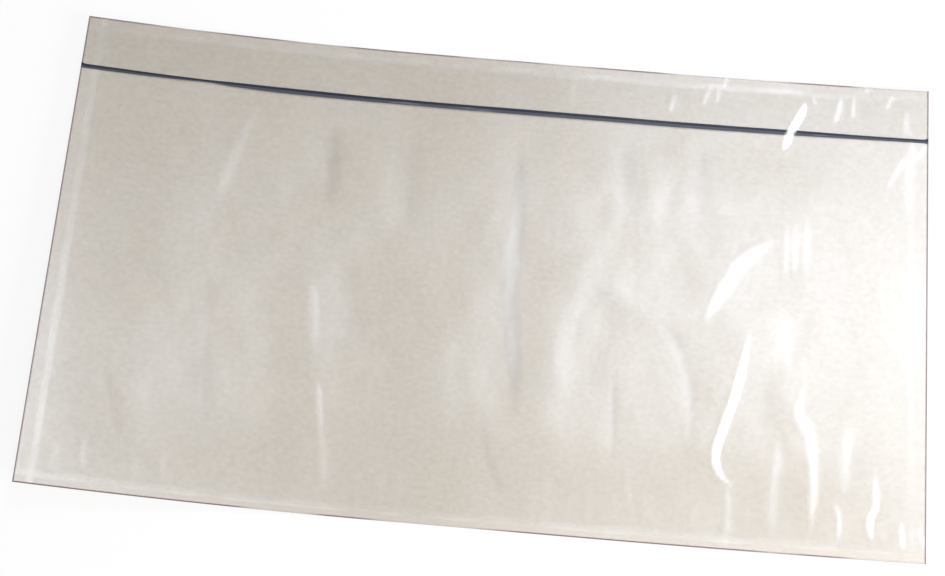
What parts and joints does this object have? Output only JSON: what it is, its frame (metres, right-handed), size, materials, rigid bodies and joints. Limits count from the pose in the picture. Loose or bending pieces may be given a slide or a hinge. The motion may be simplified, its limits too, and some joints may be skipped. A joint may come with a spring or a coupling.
{
  "type": "packing list envelope",
  "caption": "Clear self-adhesive document pouch on its release liner: a loose clear front film sealed on its borders, with a dark line along its slit opening.",
  "frame": {"origin": "under the middle of the sheet's outline, at the height of the liner's flat underside", "axes": "+X along the long side, +Y up the front towards the opening, +Z out of the clear front"},
  "size_m": [0.2536, 0.143, 0.0138],
  "materials": {
    "liner_paper": "satin silicone-coated kraft paper, finely mottled",
    "adhesive": "thin tacky pressure-sensitive coat",
    "back_clear": "clear polyethylene film",
    "front_clear": "clear glossy polyethylene film, lightly creased",
    "dark_ink": "blue-black printed line",
    "lip_ink": "thinner, greyer printed line"
  },
  "bodies": {
    "root": {"release_liner": "liner_paper", "adhesive_coat": "adhesive", "back_film": "back_clear", "header_film": "front_clear", "pocket_film": "front_clear", "header_line": "dark_ink", "lip_line": "lip_ink"}
  },
  "joints": []
}
